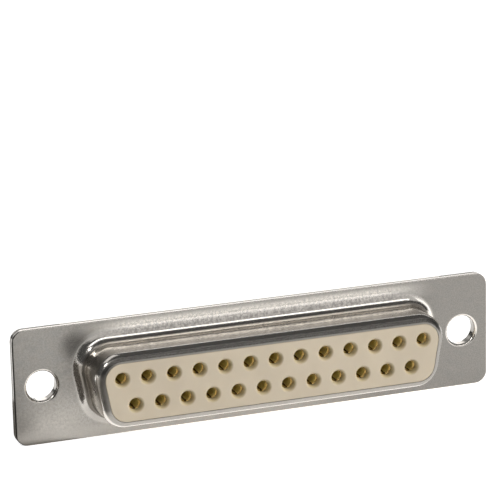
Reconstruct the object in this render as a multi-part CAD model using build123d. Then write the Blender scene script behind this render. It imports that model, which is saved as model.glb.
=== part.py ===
from build123d import *
from math import cos, radians, sin
import os

# A 25-way D-sub socket connector with straight board pins, in millimetres.
# X runs along the connector, Z points to the row of thirteen and Y points from the mating
# face to the pin tips. The origin is the centre of the flange's front face.

# Contact pattern
PITCH = 2.77
ROW_SPACING = 2.84
LONG_ROW = 13

# Sheet metal of both shells
SHEET = 0.5
EDGE_ROLL = 0.1

# D-shaped mating cup of the front shell, measured from the contact pattern
SIDE_SLOPE = 10.0
CUP_END_MARGIN = 2.57
CUP_SIDE_MARGIN = 2.53
CUP_CORNER = 2.6
CUP_DEPTH = 5.7
CUP_RIM_BEND = 0.8
CUP_ROOT_BEND = 1.4
CUP_LIP = 0.28

# Larger D-shaped cup of the rear shell, measured from the mating cup
REAR_END_STEP = 1.45
REAR_SIDE_STEP = 1.41
REAR_CORNER = 2.9
REAR_DEPTH = 3.3
REAR_RIM_BEND = 0.6
REAR_ROOT_BEND = 0.65

# Flange that both shells share, measured from the cups and the screw holes
SCREW_MARGIN = 4.33
FLANGE_END_MARGIN = 3.0
FLANGE_SIDE_MARGIN = 0.85
FLANGE_CORNER = 1.35

# Screw holes, each lined by a collar of the front shell that is flared over the rear shell
SCREW_HOLE = 3.2
COLLAR_WALL = 0.28
COLLAR_CLEARANCE = 0.04
HOLE_ENTRY_ROUND = 0.35
FLARE_WIDTH = 0.6
FLARE_HEIGHT = 0.34
FLARE_OUTER_ROUND = 0.28
FLARE_INNER_ROUND = 0.24

# Insulators, split behind the flange where they trap the contacts
INSULATOR_FIT = 0.05
SHOULDER_THICKNESS = 1.6
FACE_FIT = 0.02
FACE_RECESS = 0.12
FACE_CHAMFER = 0.05
NECK_END_MARGIN = 2.38
NECK_SIDE_MARGIN = 2.13
NECK_CORNER = 1.9
NECK_GAP = 0.12
NECK_STANDOUT = 1.95
NECK_EDGE_ROUND = 0.3
LEDGE_HEIGHT = 0.32
LEDGE_STEP = 0.1

# Contact cavities in the insulators
CAVITY_CLEARANCE = 0.05
FUNNEL_MOUTH = 1.86
FUNNEL_THROAT = 1.24
FUNNEL_DEPTH = 0.56
THROAT_DEPTH = 0.19

# Turned contacts
SOCKET_DIAMETER = 1.64
SOCKET_BORE = 1.04
SOCKET_BORE_DEPTH = 5.4
SOCKET_ENTRY_CHAMFER = 0.16
DRILL_POINT = 0.3
SLOT_WIDTH = 0.24
SLOT_LENGTH = 3.4
RETAINER_DIAMETER = 2.15
RETAINER_HALF = 0.4
DISH_STANDOUT = 0.16
DISH_DEPTH = 0.2
DISH_LAND = 0.1
PIN_DIAMETER = 0.66
PIN_FOOT_DIAMETER = 0.9
PIN_FOOT_STANDOUT = 0.09
PIN_LENGTH = 4.1
PIN_CHAMFER = 0.2
PIP_DIAMETER = 0.26
PIP_LENGTH = 0.14

# How far from its plane an edge may lie and still be picked
PICK_SLACK = 0.001

# Overall sizes that follow from the pattern and the margins
ROW_LENGTH = (LONG_ROW - 1) * PITCH
CUP_WIDTH = ROW_LENGTH + 2 * CUP_END_MARGIN
CUP_HEIGHT = ROW_SPACING + 2 * CUP_SIDE_MARGIN
REAR_WIDTH = CUP_WIDTH + 2 * REAR_END_STEP
REAR_HEIGHT = CUP_HEIGHT + 2 * REAR_SIDE_STEP
NECK_WIDTH = ROW_LENGTH + 2 * NECK_END_MARGIN
NECK_HEIGHT = ROW_SPACING + 2 * NECK_SIDE_MARGIN
SCREW_SPACING = CUP_WIDTH + 2 * SCREW_MARGIN
FLANGE_LENGTH = SCREW_SPACING + 2 * FLANGE_END_MARGIN
FLANGE_HEIGHT = REAR_HEIGHT + 2 * FLANGE_SIDE_MARGIN

# Stations along Y that several pieces share
CUP_FACE = -CUP_DEPTH
FLANGE_FRONT = 0.0
SEAM = FLANGE_FRONT + SHEET
FLANGE_REAR = SEAM + SHEET
SPLIT = SEAM + SHOULDER_THICKNESS
REAR_PLANE = FLANGE_REAR + REAR_DEPTH
REAR_CEILING = REAR_PLANE - SHEET
MATING_FACE = CUP_FACE + FACE_RECESS
NECK_FACE = REAR_PLANE + NECK_STANDOUT
FUNNEL_END = MATING_FACE + FUNNEL_DEPTH
CAVITY_FLOOR = FUNNEL_END + THROAT_DEPTH
FLARE_TOP = FLANGE_REAR + FLARE_HEIGHT


def d_outline(width, height, corner):
    """A D of the given overall width and height, wide at +Z, with sides that slope in."""
    slope = radians(SIDE_SLOPE)
    centre = width / 2 - corner
    top = centre + corner * (1 + sin(slope)) / cos(slope)
    bottom = centre + (corner - (height - corner) * sin(slope)) / cos(slope)
    corners = [(-top, height / 2), (top, height / 2), (bottom, -height / 2), (-bottom, -height / 2)]
    sharp = make_face(Polyline(*corners, close=True))
    return fillet(sharp.vertices(), corner)


def cup_outline(inset):
    """The mating cup's outline, moved in by the inset."""
    return d_outline(CUP_WIDTH - 2 * inset, CUP_HEIGHT - 2 * inset, CUP_CORNER - inset)


def rear_outline(inset):
    """The rear cup's outline, moved in by the inset."""
    return d_outline(REAR_WIDTH - 2 * inset, REAR_HEIGHT - 2 * inset, REAR_CORNER - inset)


def neck_outline(inset):
    """The outline of the rear insulator's neck, moved in by the inset."""
    return d_outline(NECK_WIDTH - 2 * inset, NECK_HEIGHT - 2 * inset, NECK_CORNER - inset)


def slab(outline, start, end):
    """The outline as a prism between two stations along Y, given in either order."""
    front, rear = sorted((start, end))
    return extrude(Plane.XZ.offset(-rear) * outline, amount=rear - front)


def rod(diameter, start, end, x=0.0, z=0.0):
    """A round rod along Y between two stations."""
    return slab(Pos(x, z) * Circle(diameter / 2), start, end)


def edges_at(solid, station):
    """The edges that lie in the plane at a station along Y."""
    level = solid.edges().filter_by(Plane.XZ)
    return level.filter_by_position(Axis.Y, station - PICK_SLACK, station + PICK_SLACK)


def cup_edges(solid, station, outline):
    """Of the edges at a station, those that lie no further out than an outline."""
    reach = outline.bounding_box().max + Vector(EDGE_ROLL, EDGE_ROLL)
    boxes = [(edge, edge.bounding_box()) for edge in edges_at(solid, station)]
    return [edge for edge, box in boxes if box.max.X < reach.X and -box.min.X < reach.X and box.max.Z < reach.Y]


def hole_edges(solid, station, x):
    """Of the edges at a station, the circles round the screw hole at x."""
    circles = edges_at(solid, station).filter_by(GeomType.CIRCLE)
    return circles.filter_by(lambda edge: abs(edge.arc_center.X - x) < SCREW_HOLE / 2)


def screw_places():
    return [-SCREW_SPACING / 2, SCREW_SPACING / 2]


def contact_places():
    """Both rows, from right to left, with the row of thirteen first."""
    rows = [(LONG_ROW, ROW_SPACING / 2), (LONG_ROW - 1, -ROW_SPACING / 2)]
    return [(((count - 1) / 2 - step) * PITCH, z) for count, z in rows for step in range(count)]


def flange_plate(start, end):
    """The rounded flange of one shell, with the soft edges that blanking leaves."""
    plate = slab(RectangleRounded(FLANGE_LENGTH, FLANGE_HEIGHT, FLANGE_CORNER), start, end)
    return fillet(edges_at(plate, start) + edges_at(plate, end), EDGE_ROLL)


def drawn_shell(outline, face, back, tip, root_bend, rim_bend):
    """A flange drawn into a cup from one sheet, with even thickness round both bends."""
    floor = tip + SHEET if tip < face else tip - SHEET
    shell = flange_plate(face, back) + slab(outline(0), back, tip)
    shell = fillet(cup_edges(shell, face, outline(0)), root_bend)
    shell = fillet(cup_edges(shell, tip, outline(0)), rim_bend + SHEET)
    hollow = slab(outline(SHEET), back, floor)
    shell -= fillet(edges_at(hollow, floor), rim_bend)
    return fillet(cup_edges(shell, back, outline(SHEET)), root_bend + SHEET)


def with_screw_collar(shell, x):
    """The shell with one collar drawn through the rear flange and flared over it."""
    shell += rod(SCREW_HOLE + 2 * COLLAR_WALL, SEAM, FLARE_TOP, x)
    shell += rod(SCREW_HOLE + 2 * FLARE_WIDTH, FLANGE_REAR, FLARE_TOP, x)
    shell = fillet(hole_edges(shell, FLARE_TOP, x), FLARE_OUTER_ROUND)
    shell -= rod(SCREW_HOLE, FLANGE_FRONT, FLARE_TOP, x)
    shell = fillet(hole_edges(shell, FLARE_TOP, x).sort_by(Edge.length)[0], FLARE_INNER_ROUND)
    return fillet(hole_edges(shell, FLANGE_FRONT, x), HOLE_ENTRY_ROUND)


def front_shell():
    """Flange and mating cup in one sheet, with the two screw collars drawn out of it."""
    shell = drawn_shell(cup_outline, FLANGE_FRONT, SEAM, CUP_FACE, CUP_ROOT_BEND, CUP_RIM_BEND)
    shell -= slab(cup_outline(SHEET + CUP_LIP), CUP_FACE, CUP_FACE + SHEET + CUP_RIM_BEND)
    for x in screw_places():
        shell = with_screw_collar(shell, x)
    return shell


def rear_shell():
    """Flange and rear cup in one sheet, with clearance holes for the screw collars."""
    shell = drawn_shell(rear_outline, FLANGE_REAR, SEAM, REAR_PLANE, REAR_ROOT_BEND, REAR_RIM_BEND)
    shell -= slab(neck_outline(-LEDGE_STEP - NECK_GAP), REAR_CEILING, REAR_PLANE)
    hole = SCREW_HOLE + 2 * (COLLAR_WALL + COLLAR_CLEARANCE)
    return shell - [rod(hole, SEAM, FLANGE_REAR, x) for x in screw_places()]


def contact_bores(diameter, start, end):
    """One clearance bore for each contact, between two stations."""
    return [rod(diameter + 2 * CAVITY_CLEARANCE, start, end, x, z) for x, z in contact_places()]


def entry_funnel(x, z):
    """The trumpet-shaped entry at the mating face that leads a pin in, and its throat."""
    mouth = FUNNEL_MOUTH / 2
    throat = FUNNEL_THROAT / 2
    flare = EllipticalCenterArc((mouth, FUNNEL_END), mouth - throat, FUNNEL_DEPTH, 180, arc_size=90)
    rest = Polyline(flare @ 1, (0, MATING_FACE), (0, CAVITY_FLOOR), (throat, CAVITY_FLOOR), flare @ 0)
    return Pos(x, 0, z) * revolve(make_face(flare + rest), Axis.Y)


def front_insulator():
    """The moulded block that fills the mating cup, and its shoulder behind the flange."""
    block_face = CUP_FACE + SHEET + INSULATOR_FIT
    block = slab(cup_outline(SHEET + INSULATOR_FIT), block_face, SEAM)
    block = fillet(edges_at(block, block_face), CUP_RIM_BEND)
    boss = slab(cup_outline(SHEET + CUP_LIP + FACE_FIT), MATING_FACE, block_face)
    boss = chamfer(edges_at(boss, MATING_FACE), FACE_CHAMFER)
    shoulder = slab(rear_outline(SHEET + INSULATOR_FIT), SEAM, SPLIT)
    body = block + boss + shoulder
    body -= contact_bores(SOCKET_DIAMETER, CAVITY_FLOOR, SPLIT)
    body -= contact_bores(RETAINER_DIAMETER, SPLIT - RETAINER_HALF, SPLIT)
    return body - [entry_funnel(x, z) for x, z in contact_places()]


def rear_insulator():
    """The moulded plate that closes the cavities, with its neck standing out of the rear cup."""
    plate = slab(rear_outline(SHEET + INSULATOR_FIT), SPLIT, REAR_CEILING)
    plate = fillet(edges_at(plate, REAR_CEILING), REAR_RIM_BEND)
    ledge = slab(neck_outline(-LEDGE_STEP), REAR_CEILING, REAR_PLANE + LEDGE_HEIGHT)
    neck = slab(neck_outline(0), REAR_PLANE, NECK_FACE)
    neck = fillet(edges_at(neck, NECK_FACE), NECK_EDGE_ROUND)
    body = plate + ledge + neck
    body -= contact_bores(SOCKET_DIAMETER, SPLIT, NECK_FACE)
    return body - contact_bores(RETAINER_DIAMETER, SPLIT, SPLIT + RETAINER_HALF)


def contact():
    """One turned contact on the Y axis: split socket, retainer, dished end and board pin."""
    bore = SOCKET_BORE / 2
    barrel = SOCKET_DIAMETER / 2
    retainer = RETAINER_DIAMETER / 2
    pin = PIN_DIAMETER / 2
    foot = PIN_FOOT_DIAMETER / 2
    pip = PIP_DIAMETER / 2
    bore_end = CAVITY_FLOOR + SOCKET_BORE_DEPTH
    dish_rim = NECK_FACE + DISH_STANDOUT
    pin_end = NECK_FACE + PIN_LENGTH
    half_section = [
        (bore + SOCKET_ENTRY_CHAMFER, CAVITY_FLOOR),
        (barrel, CAVITY_FLOOR),
        (barrel, SPLIT - RETAINER_HALF),
        (retainer, SPLIT - RETAINER_HALF),
        (retainer, SPLIT + RETAINER_HALF),
        (barrel, SPLIT + RETAINER_HALF),
        (barrel, dish_rim),
        (barrel - DISH_LAND, dish_rim),
        (foot, dish_rim - DISH_DEPTH),
        (pin, dish_rim + PIN_FOOT_STANDOUT),
        (pin, pin_end - PIN_CHAMFER),
        (pip, pin_end),
        (pip, pin_end + PIP_LENGTH),
        (0, pin_end + PIP_LENGTH),
        (0, bore_end + DRILL_POINT),
        (bore, bore_end),
        (bore, CAVITY_FLOOR + SOCKET_ENTRY_CHAMFER),
    ]
    turned = revolve(make_face(Polyline(*half_section, close=True)), Axis.Y)
    slot = Pos(0, CAVITY_FLOOR + SLOT_LENGTH / 2, 0) * Box(SLOT_WIDTH, SLOT_LENGTH, RETAINER_DIAMETER)
    return turned - slot


def write(shape, name):
    export_step(shape, f"parts/{name}.step")


os.makedirs("parts", exist_ok=True)
write(front_shell(), "front_shell")
write(rear_shell(), "rear_shell")
write(front_insulator(), "front_insulator")
write(rear_insulator(), "rear_insulator")
for number, (x, z) in enumerate(contact_places(), start=1):
    write(Pos(x, 0, z) * contact(), f"contact_{number:02d}")
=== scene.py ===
from math import cos, pi, radians, sin

import bpy
from mathutils import Matrix, Vector


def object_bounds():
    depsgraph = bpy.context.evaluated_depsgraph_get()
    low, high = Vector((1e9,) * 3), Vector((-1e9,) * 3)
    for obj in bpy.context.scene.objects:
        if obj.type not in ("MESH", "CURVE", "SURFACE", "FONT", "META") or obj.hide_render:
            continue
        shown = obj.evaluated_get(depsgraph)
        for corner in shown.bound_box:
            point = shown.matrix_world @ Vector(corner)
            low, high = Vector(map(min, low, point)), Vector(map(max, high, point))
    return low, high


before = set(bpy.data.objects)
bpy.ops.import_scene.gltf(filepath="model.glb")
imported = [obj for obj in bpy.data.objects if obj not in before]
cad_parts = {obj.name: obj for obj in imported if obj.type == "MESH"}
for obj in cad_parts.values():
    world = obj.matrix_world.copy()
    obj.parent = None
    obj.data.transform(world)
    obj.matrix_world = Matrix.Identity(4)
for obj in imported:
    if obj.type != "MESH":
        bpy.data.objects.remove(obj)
cad_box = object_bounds()

# Everything is in metres, in the connector's own frame: X along it, -Y out of the mating face,
# Z to the row of thirteen. Left and right are as the mating face is seen, so right is +X.
MM = 0.001


def mm(*values):
    """Values given in millimetres."""
    return tuple(value * MM for value in values)


# Colours, linear
SATIN_TIN = (0.275, 0.259, 0.236)
COOL_TIN = (0.262, 0.262, 0.250)
BRIGHT_TIN = (0.74, 0.700, 0.645)
GOLD = (0.84, 0.64, 0.29)
# Painted light: a paler gold that makes the socket bores read lighter
PALE_BORE_GOLD = (0.93, 0.81, 0.36)
CREAM = (0.60, 0.515, 0.39)
SHADED_CREAM = (0.50, 0.41, 0.245)
WHITE_PAPER = (0.90, 0.90, 0.90)
BLACK_PAPER = (0.11, 0.10, 0.09)
GREY_PAPER = (0.5, 0.48, 0.45)
WORLD_GREY = (0.07, 0.07, 0.07)

# Tones of the satin tin, as shares of its colour
CLOUD_TONES = (1.02, 1.30)
SPECK_TONE = 0.60
# The next four tones paint light and shade on the flange: its right end darker, low on the left and
# below the cup paler, and a dark reflection of the cup
RIGHT_END_SHADE_TONE = 0.67
LOW_LEFT_LIGHT_TONES = (1.75, 1.3)
UNDER_CUP_LIGHT_TONE = 1.50
CUP_REFLECTION_TONE = 0.40
LIP_TONE = 1.15
# Painted highlight line at the opening's edge and painted shade behind it, on the lip's upper side
LIP_TOP_HIGHLIGHT_AND_SHADE = (1.4, 0.35)

# Tones of the bright tin, the gold and the cream, as shares of their colours
# The next six tones paint light and shade: shade in the screw bores, on the low root and on the
# flange's left edge, reflections on the cup's upper wall and on the band over the cup
SCREW_BORE_SHADE_TONE = 0.45
LOW_ROOT_SHADE_TONE = 0.62
WALL_REFLECTION_TONES = (1.10, 1.34)
WALL_RIGHT_SHADE_TONE = 0.75
BAND_REFLECTION_TONES = (0.70, 1.02)
LEFT_EDGE_SHADE_TONE = 0.10
GOLD_TONES = (0.92, 1.05)
CREAM_TONES = (0.96, 1.03)

# The contact pattern
PITCH = 2.77 * MM
ROW_SPACING = 2.84 * MM
LONG_ROW_REACH = 6.5 * PITCH
SHORT_ROW_REACH = 6.0 * PITCH

# Each shell's flat sheet lies at two stations along Y
FRONT_SHEET = mm(0.0, 0.5)
REAR_SHEET = mm(1.0, 4.3)

# Spans over which a finish or a painted light or shade gives way to another, along the axis that
# ends the name. The two reaches are distances, from the sheet's stations and from the cup's painted
# reflection.
SHEET_REACH = mm(0.6, 1.1)
ALONG_FLANGE_X = mm(-24.0, 24.0)
LOW_LEFT_X = mm(-22.0, -16.0)
LOW_LEFT_Z = mm(-4.5, 0.0)
UNDER_CUP_X = mm(2.0, 16.0)
UNDER_CUP_Z = mm(-5.3, -4.5)
LEFT_EDGE_SHADE_X = mm(-26.40, -26.33)
BAND_X = mm(13.0, 20.5)
BAND_TOP_Z = mm(5.45, 6.35)
BAND_FOOT_Z = mm(4.2, 4.7)
LOW_ROOT_X = mm(-16.5, -13.0)
LOW_ROOT_Y = mm(-3.0, -1.2)
LOW_ROOT_Z = mm(-3.2, -0.5)
WALL_X = mm(-10.0, 16.0)
WALL_Y = mm(-4.6, -2.2)
LIP_Y = mm(-5.30, -5.05)
LIP_TOP_Y = mm(-5.54, -5.48)
CUP_REFLECTION_REACH = mm(0.5, 2.1)

# Spans of one component of the normal
FLAT = (0.93, 0.995)
UPWARD = (0.9, 0.97)
LIP_UPWARD = (0.05, 0.35)
LEFTWARD = (-0.32, -0.08)
FORWARD = (-0.25, -0.10)
ACROSS_BORE = 0.5

# Spots and limits
CUP_REFLECTION_SPOT = mm(-19.9, 0.0, 4.0)
SCREW_HOLES_FROM = 21.2 * MM
LEFT_END = -25.0 * MM
SOCKET_BORE_RADIUS = 0.53 * MM
SOCKET_END = 2.0 * MM
ENTRY_RADII = mm(0.66, 0.95)

# What a ramp gives at the start and at the end of its span
FADE_IN = (0.0, 1.0)
FADE_OUT = (1.0, 0.0)
BLOTCH_SHARE = (0.0, 0.6)
SPECK_SHARE = (0.0, 0.40)
RIGHT_END_SHADE_SHARE = (0.0, 0.62)
UNDER_CUP_LIGHT_SHARE = (0.7, 0.0)
CUP_REFLECTION_SHARE = (0.8, 0.0)
WALL_RIGHT_SHADE_SHARE = (0.0, 0.35)
GRAIN_SHARE = (0.0, 0.12)

# The part of a noise's range that a ramp uses
WIDE = (0.2, 0.8)
SOFT = (0.3, 0.7)
CRISP = (0.35, 0.65)
PATCHY = (0.35, 0.7)

# Scales of the noises, in features to the metre
GRAIN = 9000.0
SPECK = 3600.0
CLOUD = 420.0
STREAK = (160.0, 5200.0, 5200.0)
BLOTCH = (800.0, 1000.0, 1300.0)
CREAM_CLOUD = 220.0
CREAM_SPECK = 6000.0
GOLD_CLOUD = 900.0
LATHE_RINGS = (300.0, 9000.0, 300.0)

# Roughness, as single values and as ranges that a noise runs through
POLISHED_TIN = (0.13, 0.22)
MOTTLED_TIN = (0.36, 0.48)
BAND_ROUGHNESS = 0.24
SMOOTH_GOLD = (0.16, 0.30)
BORE_ROUGHNESS = 0.4
SATIN_CREAM = (0.42, 0.56)
PAPER_ROUGHNESS = 0.9

BORE_METALLIC = 0.12
METAL_RELIEF = 0.004 * MM
CREAM_RELIEF = 0.01 * MM


class Nodes:
    """A short way to write a material's node tree."""

    def __init__(self, tree):
        self.tree = tree

    def add(self, kind, inputs=None, **settings):
        node = self.tree.nodes.new(kind)
        for name, value in settings.items():
            setattr(node, name, value)
        for name, value in (inputs or {}).items():
            self.put(node.inputs[name], value)
        return node

    def put(self, socket, value):
        if isinstance(value, bpy.types.NodeSocket):
            self.tree.links.new(value, socket)
        else:
            socket.default_value = value

    def math(self, operation, a, b=0.0):
        return self.add("ShaderNodeMath", {0: a, 1: b}, operation=operation).outputs[0]

    def size(self, value):
        """The value without its sign."""
        return self.math("ABSOLUTE", value)

    def product(self, first, *others):
        for other in others:
            first = self.math("MULTIPLY", first, other)
        return first

    def split(self, vector):
        return self.add("ShaderNodeSeparateXYZ", {0: vector}).outputs

    def distance(self, vector, spot):
        inputs = {0: vector, 1: spot}
        return self.add("ShaderNodeVectorMath", inputs, operation="DISTANCE").outputs["Value"]

    def ramp(self, value, span, gives=FADE_IN, smooth=True):
        """What the ramp gives, from the first to the second, as the value crosses the span."""
        kind = "SMOOTHSTEP" if smooth else "LINEAR"
        inputs = {"Value": value, "From Min": span[0], "From Max": span[1],
                  "To Min": gives[0], "To Max": gives[1]}
        return self.add("ShaderNodeMapRange", inputs, interpolation_type=kind).outputs["Result"]

    def noise(self, vector, scale, detail=3.0, roughness=0.55):
        inputs = {"Vector": vector, "Scale": scale, "Detail": detail, "Roughness": roughness}
        return self.add("ShaderNodeTexNoise", inputs).outputs["Fac"]

    def stretched_noise(self, vector, scales, detail=3.0):
        """Noise with a scale of its own along each axis."""
        stretched = self.add("ShaderNodeMapping", {"Vector": vector, "Scale": scales})
        return self.noise(stretched.outputs["Vector"], 1.0, detail)

    def blend(self, factor, a, b):
        """A plain number between a and b."""
        return self.add("ShaderNodeMix", {0: factor, 2: a, 3: b}, data_type="FLOAT").outputs[0]

    def mix(self, factor, a, b):
        """A colour between a and b."""
        return self.add("ShaderNodeMix", {0: factor, 6: a, 7: b}, data_type="RGBA").outputs[2]

    def bump(self, height, distance, strength, normal=None):
        inputs = {"Height": height, "Distance": distance, "Strength": strength}
        if normal is not None:
            inputs["Normal"] = normal
        return self.add("ShaderNodeBump", inputs).outputs["Normal"]


def material(name):
    made = bpy.data.materials.new(name)
    made.use_nodes = True
    made.node_tree.nodes.clear()
    nodes = Nodes(made.node_tree)
    shader = nodes.add("ShaderNodeBsdfPrincipled")
    nodes.add("ShaderNodeOutputMaterial", {"Surface": shader.outputs[0]})
    return made, nodes, shader


def coordinates(nodes):
    """Where the shaded point lies, in metres in the connector's frame."""
    return nodes.add("ShaderNodeTexCoord").outputs["Object"]


def rgba(colour, tone=1.0):
    return (*(channel * tone for channel in colour), 1.0)


def pair(colour, tones):
    """Two tones of a colour, for a mix."""
    return [rgba(colour, tone) for tone in tones]


def flat_sheet(nodes, point, facing, stations):
    """A mask of where the sheet stayed flat, at one of two stations along Y."""
    away = [nodes.size(nodes.math("SUBTRACT", point["Y"], station)) for station in stations]
    near = nodes.ramp(nodes.math("MINIMUM", *away), SHEET_REACH, FADE_OUT)
    return nodes.product(nodes.ramp(nodes.size(facing["Y"]), FLAT), near)


def left_edge_shade(nodes, point, facing):
    """A mask of the rolled front edge at the flange's left end, which painted shade makes nearly
    black.
    """
    rolled = nodes.product(nodes.ramp(facing["X"], LEFTWARD, FADE_OUT),
                           nodes.math("LESS_THAN", point["X"], LEFT_END))
    edge = nodes.math("MAXIMUM", rolled, nodes.ramp(point["X"], LEFT_EDGE_SHADE_X, FADE_OUT))
    return nodes.product(edge, nodes.ramp(facing["Y"], FORWARD, FADE_OUT))


def band_over_cup(nodes, point):
    """A mask of the band of the flange that lies over the cup: glossier, and painted bright as a
    reflection of the cup's wall.
    """
    return nodes.product(nodes.ramp(point["Z"], BAND_TOP_Z, FADE_OUT),
                         nodes.ramp(point["Z"], BAND_FOOT_Z),
                         nodes.ramp(nodes.size(point["X"]), BAND_X, FADE_OUT))


def satin_tin(nodes, place, point, speck, cloud):
    """The colour of the flat sheet: mottled, with painted reflections that make it paler low on the
    left and below the cup, and painted shade that darkens it towards the right.
    """
    blotch = nodes.stretched_noise(place, BLOTCH)
    colour = nodes.mix(nodes.ramp(cloud, CRISP), *pair(SATIN_TIN, CLOUD_TONES))
    colour = nodes.mix(nodes.ramp(blotch, PATCHY, BLOTCH_SHARE), colour, rgba(COOL_TIN))
    colour = nodes.mix(nodes.ramp(speck, SOFT, SPECK_SHARE), colour, rgba(SATIN_TIN, SPECK_TONE))
    # Painted shade: the flange darker towards its right end
    right_end_shade = nodes.ramp(point["X"], ALONG_FLANGE_X, RIGHT_END_SHADE_SHARE)
    colour = nodes.mix(right_end_shade, colour, rgba(SATIN_TIN, RIGHT_END_SHADE_TONE))
    # Painted reflection: the flange paler low on the left
    low_left_light = nodes.product(nodes.ramp(point["X"], LOW_LEFT_X, FADE_OUT),
                             nodes.ramp(point["Z"], LOW_LEFT_Z, FADE_OUT))
    pale = nodes.mix(nodes.ramp(speck, SOFT), *pair(SATIN_TIN, LOW_LEFT_LIGHT_TONES))
    colour = nodes.mix(low_left_light, colour, pale)
    # Painted reflection: the flange paler below the cup
    under_cup_light = nodes.product(nodes.ramp(point["Z"], UNDER_CUP_Z, UNDER_CUP_LIGHT_SHARE),
                              nodes.ramp(point["X"], UNDER_CUP_X, FADE_OUT))
    return nodes.mix(under_cup_light, colour, rgba(SATIN_TIN, UNDER_CUP_LIGHT_TONE))


def bright_tin(nodes, point, facing):
    """The colour of the drawn metal, with painted shade darkening the bores of the screw holes."""
    beyond = nodes.math("GREATER_THAN", nodes.size(point["X"]), SCREW_HOLES_FROM)
    bore = nodes.product(beyond, nodes.math("LESS_THAN", nodes.size(facing["Y"]), ACROSS_BORE))
    return nodes.mix(bore, rgba(BRIGHT_TIN), rgba(BRIGHT_TIN, SCREW_BORE_SHADE_TONE))


def cup_tin(nodes, point, facing, bright):
    """The bright tin on the mating cup, with painted shade on the low root at the left and a
    painted reflection on the upper wall, brighter towards the root and darker to the right.
    """
    # Painted shade on the low root at the left
    low_root_shade = nodes.product(nodes.ramp(point["Z"], LOW_ROOT_Z, FADE_OUT),
                             nodes.ramp(point["X"], LOW_ROOT_X, FADE_OUT),
                             nodes.ramp(point["Y"], LOW_ROOT_Y))
    bright = nodes.mix(low_root_shade, bright, rgba(BRIGHT_TIN, LOW_ROOT_SHADE_TONE))
    # Painted reflection on the upper wall: brighter towards the root, darker to the right
    wall = nodes.mix(nodes.ramp(point["Y"], WALL_Y), *pair(BRIGHT_TIN, WALL_REFLECTION_TONES))
    rightward = nodes.ramp(point["X"], WALL_X, WALL_RIGHT_SHADE_SHARE)
    wall = nodes.mix(rightward, wall, rgba(BRIGHT_TIN, WALL_RIGHT_SHADE_TONE))
    return nodes.mix(nodes.ramp(facing["Z"], UPWARD), bright, wall)


def lip_tin(nodes, point, facing):
    """The colour of the lip round the mating face: on its upper side, a painted highlight line at
    the opening's edge and painted shade behind it.
    """
    top = nodes.mix(nodes.ramp(point["Y"], LIP_TOP_Y), *pair(SATIN_TIN, LIP_TOP_HIGHLIGHT_AND_SHADE))
    return nodes.mix(nodes.ramp(facing["Z"], LIP_UPWARD), rgba(SATIN_TIN, LIP_TONE), top)


def tin(name, stations, mating_cup=False):
    """Tin plate: satin and mottled where the sheet stayed flat, bright where it was drawn."""
    made, nodes, shader = material(name)
    place = coordinates(nodes)
    point = nodes.split(place)
    facing = nodes.split(nodes.add("ShaderNodeNewGeometry").outputs["Normal"])
    grain = nodes.noise(place, GRAIN, detail=2.0)
    speck = nodes.noise(place, SPECK, roughness=0.7)
    cloud = nodes.noise(place, CLOUD, detail=4.0)
    streak = nodes.stretched_noise(place, STREAK)
    sheet = flat_sheet(nodes, point, facing, stations)
    mottled = nodes.ramp(cloud, SOFT, MOTTLED_TIN, smooth=False)
    polished = nodes.ramp(streak, SOFT, POLISHED_TIN, smooth=False)
    satin = satin_tin(nodes, place, point, speck, cloud)
    bright = bright_tin(nodes, point, facing)
    if mating_cup:
        lip = nodes.ramp(point["Y"], LIP_Y, FADE_OUT)
        sheet = nodes.math("MAXIMUM", sheet, lip)
        # Painted reflection: a dark spot of the cup on the flange near its upper left corner
        cup_reflection = nodes.ramp(nodes.distance(place, CUP_REFLECTION_SPOT), CUP_REFLECTION_REACH, CUP_REFLECTION_SHARE)
        satin = nodes.mix(cup_reflection, satin, rgba(SATIN_TIN, CUP_REFLECTION_TONE))
        # The band over the cup is glossier, and painted bright as a reflection of the cup's wall
        band = band_over_cup(nodes, point)
        glossy_band_reflection = nodes.mix(nodes.ramp(speck, CRISP), *pair(BRIGHT_TIN, BAND_REFLECTION_TONES))
        mottled = nodes.blend(band, mottled, BAND_ROUGHNESS)
        satin = nodes.mix(band, satin, glossy_band_reflection)
        bright = nodes.mix(band, cup_tin(nodes, point, facing, bright), glossy_band_reflection)
        # The lip takes a satin tone, with a painted highlight and painted shade on its upper side
        satin = nodes.mix(lip, satin, lip_tin(nodes, point, facing))
    satin = nodes.mix(nodes.ramp(grain, CRISP, GRAIN_SHARE), satin, rgba(BRIGHT_TIN))
    plate = nodes.mix(sheet, bright, satin)
    # Painted shade: the flange's left edge nearly black
    colour = nodes.mix(left_edge_shade(nodes, point, facing), plate, rgba(BRIGHT_TIN, LEFT_EDGE_SHADE_TONE))
    fine = nodes.bump(grain, METAL_RELIEF, strength=0.25)
    nodes.put(shader.inputs["Base Color"], colour)
    nodes.put(shader.inputs["Roughness"], nodes.blend(sheet, polished, mottled))
    nodes.put(shader.inputs["Metallic"], 1.0)
    nodes.put(shader.inputs["Normal"], nodes.bump(streak, METAL_RELIEF, strength=0.05, normal=fine))
    return made


def from_contact(nodes, point):
    """The square of the distance from the axis of the nearest contact."""
    lower = nodes.math("SUBTRACT", 1.0, nodes.math("GREATER_THAN", point["Z"], 0.0))
    shifted = nodes.math("ADD", point["X"], nodes.product(lower, PITCH / 2))
    wrapped = {0: shifted, 1: -PITCH / 2, 2: PITCH / 2}
    off_x = nodes.add("ShaderNodeMath", wrapped, operation="WRAP").outputs[0]
    off_z = nodes.math("SUBTRACT", nodes.size(point["Z"]), ROW_SPACING / 2)
    return nodes.math("ADD", nodes.product(off_x, off_x), nodes.product(off_z, off_z))


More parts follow.
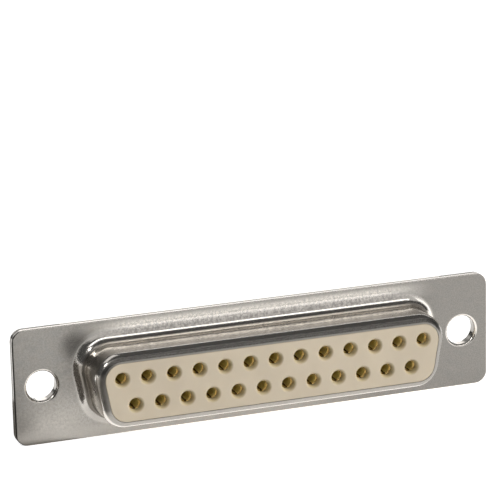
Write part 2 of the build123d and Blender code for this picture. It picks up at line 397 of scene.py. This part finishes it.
def entry_shade(nodes, point):
    """A mask of the funnels in the mating face that lead into the sockets."""
    upper = nodes.math("GREATER_THAN", point["Z"], 0.0)
    reach = nodes.blend(upper, SHORT_ROW_REACH, LONG_ROW_REACH)
    inner, outer = ENTRY_RADII
    return nodes.product(nodes.ramp(from_contact(nodes, point), (inner ** 2, outer ** 2), FADE_OUT),
                         nodes.math("LESS_THAN", nodes.size(point["X"]), reach),
                         nodes.math("LESS_THAN", point["Y"], 0.0))


def cream(name, entries=False):
    """Moulded nylon: a satin cream with a faint flow of tone, a little translucent."""
    made, nodes, shader = material(name)
    place = coordinates(nodes)
    cloud = nodes.noise(place, CREAM_CLOUD)
    speck = nodes.noise(place, CREAM_SPECK, detail=2.0)
    colour = nodes.mix(nodes.ramp(cloud, SOFT), *pair(CREAM, CREAM_TONES))
    if entries:
        colour = nodes.mix(entry_shade(nodes, nodes.split(place)), colour, rgba(SHADED_CREAM))
    nodes.put(shader.inputs["Base Color"], colour)
    nodes.put(shader.inputs["Roughness"], nodes.ramp(speck, WIDE, SATIN_CREAM, smooth=False))
    nodes.put(shader.inputs["Subsurface Weight"], 0.15)
    nodes.put(shader.inputs["Subsurface Radius"], (1.0, 0.75, 0.45))
    nodes.put(shader.inputs["Subsurface Scale"], 0.4 * MM)
    nodes.put(shader.inputs["Normal"], nodes.bump(speck, CREAM_RELIEF, strength=0.12))
    return made


def gold(name):
    """Gold over turned brass, with the faint rings of the lathe and a duller bore, whose paler gold
    is painted light inside the sockets.
    """
    made, nodes, shader = material(name)
    place = coordinates(nodes)
    point = nodes.split(place)
    within = nodes.math("LESS_THAN", from_contact(nodes, point), SOCKET_BORE_RADIUS ** 2)
    bore = nodes.product(within, nodes.math("LESS_THAN", point["Y"], SOCKET_END))
    rings = nodes.stretched_noise(place, LATHE_RINGS, detail=2.0)
    cloud = nodes.noise(place, GOLD_CLOUD, detail=2.0)
    colour = nodes.mix(nodes.ramp(cloud, SOFT), *pair(GOLD, GOLD_TONES))
    smooth = nodes.ramp(rings, SOFT, SMOOTH_GOLD, smooth=False)
    nodes.put(shader.inputs["Base Color"], nodes.mix(bore, colour, rgba(PALE_BORE_GOLD)))
    nodes.put(shader.inputs["Metallic"], nodes.blend(bore, 1.0, BORE_METALLIC))
    nodes.put(shader.inputs["Roughness"], nodes.blend(bore, smooth, BORE_ROUGHNESS))
    nodes.put(shader.inputs["Normal"], nodes.bump(rings, METAL_RELIEF, strength=0.15))
    return made


finishes = {"front_shell": tin("tin_front", FRONT_SHEET, mating_cup=True),
            "rear_shell": tin("tin_rear", REAR_SHEET),
            "front_insulator": cream("cream_front", entries=True),
            "rear_insulator": cream("cream_rear")}
plated = gold("gold_plate")
for name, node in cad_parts.items():
    for slot in node.material_slots:
        slot.material = finishes.get(name, plated)


def paper(name, colour, glow=0.0):
    """Matt paper. Its glow is for the camera and for reflections, and lights nothing directly."""
    made, nodes, shader = material(name)
    path = nodes.add("ShaderNodeLightPath").outputs
    seen = nodes.math("MAXIMUM", path["Is Camera Ray"], path["Is Glossy Ray"])
    seen = nodes.math("MAXIMUM", seen, path["Is Transmission Ray"])
    nodes.put(shader.inputs["Base Color"], rgba(colour))
    nodes.put(shader.inputs["Roughness"], PAPER_ROUGHNESS)
    nodes.put(shader.inputs["Specular IOR Level"], 0.0)
    nodes.put(shader.inputs["Emission Color"], (1.0, 1.0, 1.0, 1.0))
    nodes.put(shader.inputs["Emission Strength"], nodes.product(seen, glow))
    return made


def plane(name, outline, height, finish):
    """A flat stage piece at one height."""
    mesh = bpy.data.meshes.new(name)
    mesh.from_pydata([(x, y, height) for x, y in outline], [], [range(len(outline))])
    mesh.materials.append(finish)
    made = bpy.data.objects.new(name, mesh)
    bpy.context.scene.collection.objects.link(made)
    return made


# The floor reads white, since its glow and the light on it add up to more than 1. That holds
# in the connector's shadow too, and the photo shows no shadow either.
FLOOR_REACH = 3.0
FLOOR_GLOW = 0.75
floor_height = cad_box[0].z
square = [(-FLOOR_REACH, -FLOOR_REACH), (FLOOR_REACH, -FLOOR_REACH),
          (FLOOR_REACH, FLOOR_REACH), (-FLOOR_REACH, FLOOR_REACH)]
plane("floor", square, floor_height, paper("paper_white", WHITE_PAPER, FLOOR_GLOW))

# Cards on the floor at the left, in millimetres. They show only in reflections, where they
# give the bends of the cup their dark lines.
CARD_LIFT = 0.05 * MM
BLACK_CARD = [(-22.5, -4.5), (-28, -1.5), (-130, -60), (-130, -150), (-42, -150)]
GREY_CARD = [(-19, 0), (-28, -1.5), (-130, -60), (-200, 60), (-19, 12)]
cards = [("black_card", BLACK_CARD, paper("card_black", BLACK_PAPER)),
         ("grey_card", GREY_CARD, paper("card_grey", GREY_PAPER))]
for name, outline, finish in cards:
    card = plane(name, [mm(*corner) for corner in outline], floor_height + CARD_LIFT, finish)
    card.visible_camera = False
    card.visible_diffuse = False
    card.visible_shadow = False

world = bpy.data.worlds.new("studio")
bpy.context.scene.world = world
world.use_nodes = True
world.node_tree.nodes.clear()
sky = Nodes(world.node_tree)
back = sky.add("ShaderNodeBackground", {"Color": rgba(WORLD_GREY), "Strength": 1.0})
sky.add("ShaderNodeOutputWorld", {"Surface": back.outputs[0]})


def towards(azimuth, elevation, distance):
    """A point seen from the origin: azimuth 0 is along -Y, and it grows towards +X."""
    level = cos(radians(elevation))
    east, front = sin(radians(azimuth)) * level, cos(radians(azimuth)) * level
    return Vector((east, -front, sin(radians(elevation)))) * distance


def lamp(name, width, height, place, radiance):
    """A rectangular soft light that faces the connector."""
    light = bpy.data.lights.new(name, "AREA")
    light.shape, light.size, light.size_y = "RECTANGLE", width, height
    light.energy = radiance * pi * width * height
    made = bpy.data.objects.new(name, light)
    made.location = place
    made.rotation_euler = (-place).to_track_quat("-Z", "Y").to_euler()
    bpy.context.scene.collection.objects.link(made)
    return made


# Name, width, height, azimuth, elevation, distance and radiance
LAMPS = [("front", 1.6, 0.42, 30, 11, 1.0, 0.65),
         ("front_high", 1.5, 0.5, 30, 37, 1.0, 0.5),
         ("top", 1.3, 0.18, 5, 64, 0.9, 2.4),
         ("rear", 1.8, 0.6, 165, 16, 1.2, 1.1),
         ("back_left", 0.9, 0.5, -155, 55, 1.1, 0.7),
         ("right", 0.16, 0.25, 58, 12, 0.6, 0.9),
         ("fill", 0.5, 0.5, 60, 25, 0.8, 5.8),
         ("spark", 0.08, 0.08, -82, 47, 0.5, 15.0)]
for name, width, height, azimuth, elevation, distance, radiance in LAMPS:
    hung = lamp(name, width, height, towards(azimuth, elevation, distance), radiance)
    # The fill lifts the cream, and would show as a white patch in the tin
    hung.visible_glossy = name != "fill"

# The camera, as fitted to the photo
SENSOR = 36.0
FOCAL_PIXELS = 2751.3
PHOTO_PIXELS = 500.0
YAW, TILT, ROLL = radians(19.834), radians(15.373), radians(-1.362)
EYE = Vector((-94.18, -259.64, 87.72)) * MM
camera_data = bpy.data.cameras.new("camera")
camera_data.sensor_width = SENSOR
camera_data.lens = SENSOR * FOCAL_PIXELS / PHOTO_PIXELS
camera_data.clip_start, camera_data.clip_end = 0.01, 20.0
camera = bpy.data.objects.new("camera", camera_data)
ahead = Vector((sin(YAW) * cos(TILT), cos(YAW) * cos(TILT), -sin(TILT)))
level = ahead.cross(Vector((0, 0, 1))).normalized()
above = level.cross(ahead)
right = cos(ROLL) * level + sin(ROLL) * above
up = right.cross(ahead)
camera.matrix_world = Matrix.Translation(EYE) @ Matrix((right, up, -ahead)).transposed().to_4x4()
bpy.context.scene.collection.objects.link(camera)
bpy.context.scene.camera = camera
bpy.context.scene.view_settings.view_transform = "Standard"
